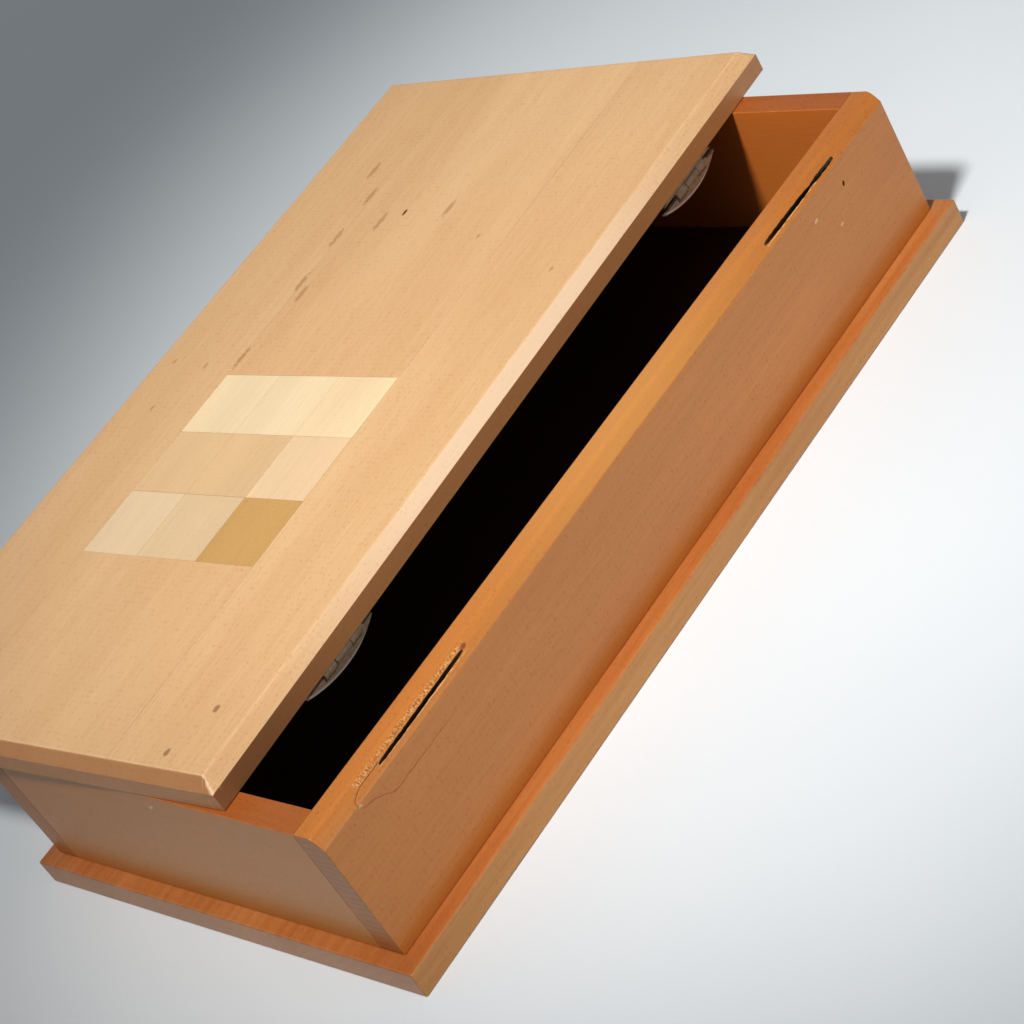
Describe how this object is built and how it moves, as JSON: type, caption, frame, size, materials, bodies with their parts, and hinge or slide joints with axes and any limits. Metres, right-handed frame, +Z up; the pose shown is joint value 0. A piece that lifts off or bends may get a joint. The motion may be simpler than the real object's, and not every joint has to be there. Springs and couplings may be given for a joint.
{
  "type": "wooden puzzle box",
  "caption": "Shallow wooden box with an overhanging base, a loose inlaid lid lying askew and two half-moon hinges hanging under its front edge.",
  "frame": {"origin": "centre of the base board's underside, where the box stands", "axes": "+X along the box's length, -Y towards the wall with the hinge kerfs, +Z up"},
  "size_m": [0.3568, 0.248, 0.0741],
  "materials": {
    "base_wood": "satin orange-brown board, greyer on its edges",
    "wall_wood": "satin brown boards with a long even grain",
    "lid_wood": "pale peach close-grained planks, lightly polished",
    "pale_inlay": "pale cream wood blocks",
    "tan_inlay": "tan wood blocks",
    "ochre_inlay": "dark ochre wood block",
    "hinge_metal": "dull aged plate with a brighter worn rim"
  },
  "bodies": {
    "box": {"base_board": "base_wood", "front_wall": "wall_wood", "back_wall": "wall_wood", "left_end_wall": "wall_wood", "right_end_wall": "wall_wood"},
    "lid": {"lid_front_plank": "lid_wood", "lid_middle_plank": "lid_wood", "lid_back_plank": "lid_wood", "inlay_tile_1_1": "pale_inlay", "inlay_tile_1_2": "pale_inlay", "inlay_tile_1_3": "pale_inlay", "inlay_tile_2_1": "tan_inlay", "inlay_tile_2_2": "tan_inlay", "inlay_tile_2_3": "pale_inlay", "inlay_tile_3_1": "pale_inlay", "inlay_tile_3_2": "tan_inlay", "inlay_tile_3_3": "ochre_inlay", "left_lid_leaf": "hinge_metal", "left_hinge_pin": "hinge_metal", "right_lid_leaf": "hinge_metal", "right_hinge_pin": "hinge_metal"},
    "left_leaf": {"left_wall_leaf": "hinge_metal"},
    "right_leaf": {"right_wall_leaf": "hinge_metal"}
  },
  "joints": [
    {"name": "lid_lift", "type": "slide", "parent": "box", "child": "lid", "axis": [0, 0, 1], "range_m": [0, 0.1]},
    {"name": "left_leaf_swing", "type": "hinge", "parent": "lid", "child": "left_leaf", "pos_m": [-0.10041, -0.03704, 0.0603], "axis": [0.9988, 0.0482, 0], "range_deg": [-90, 90]},
    {"name": "right_leaf_swing", "type": "hinge", "parent": "lid", "child": "right_leaf", "pos_m": [0.12692, -0.02608, 0.0582], "axis": [0.9988, 0.0482, 0], "range_deg": [-90, 90]}
  ]
}
